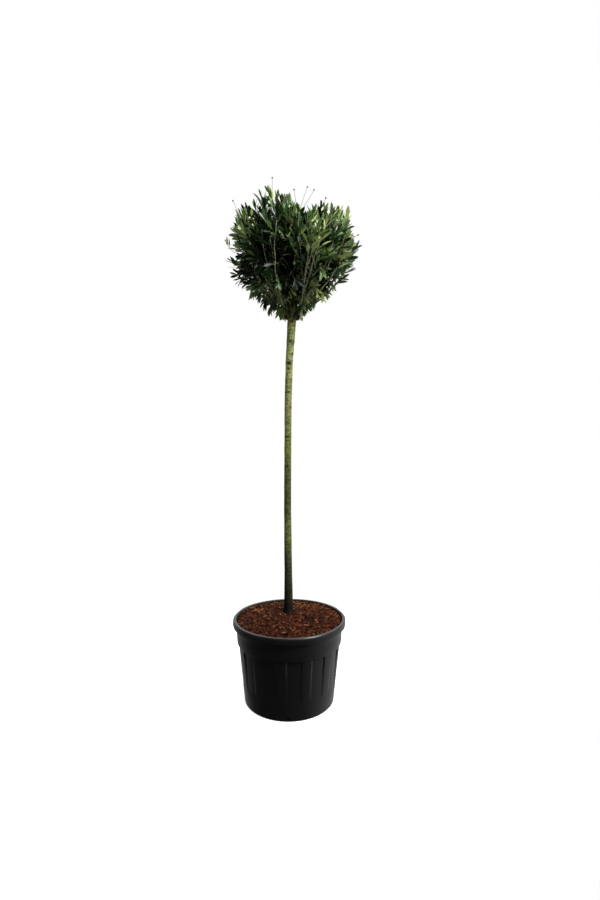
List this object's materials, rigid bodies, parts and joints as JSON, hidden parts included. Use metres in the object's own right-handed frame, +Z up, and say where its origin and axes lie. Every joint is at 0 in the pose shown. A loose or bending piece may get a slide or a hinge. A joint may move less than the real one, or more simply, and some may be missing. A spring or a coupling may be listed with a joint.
{
  "type": "potted cherry laurel",
  "caption": "Cherry laurel grown as a standard: a clear upright stem with a rounded head of glossy evergreen leaves, in a fluted black nursery pot of bark mulch.",
  "frame": {"origin": "centre of the pot's flat underside, on the pot's axis", "axes": "+Z up the stem, -Y towards the front as pictured, +X to the right seen from the front"},
  "size_m": [0.8214, 0.7987, 3.1417],
  "materials": {
    "pot_plastic": "satin black nursery plastic",
    "mulch": "loose red-brown bark chips",
    "bark": "smooth green-grey bark",
    "leaves": "glossy evergreen leaves"
  },
  "bodies": {
    "root": {"pot": "pot_plastic", "mulch": "mulch", "stem": "bark", "bough_lower_back": "bark", "bough_lower_front_left": "bark", "bough_lower_front_right": "bark", "bough_lower_left": "bark", "bough_lower_right": "bark", "bough_top": "bark", "bough_upper_back_left": "bark", "bough_upper_back_right": "bark", "bough_upper_front": "bark", "bough_upper_left": "bark", "bough_upper_right": "bark", "foliage_lower_back": "leaves", "foliage_lower_front_left": "leaves", "foliage_lower_front_right": "leaves", "foliage_lower_left": "leaves", "foliage_lower_right": "leaves", "foliage_top": "leaves", "foliage_upper_back_left": "leaves", "foliage_upper_back_right": "leaves", "foliage_upper_front": "leaves", "foliage_upper_left": "leaves", "foliage_upper_right": "leaves"}
  },
  "joints": []
}
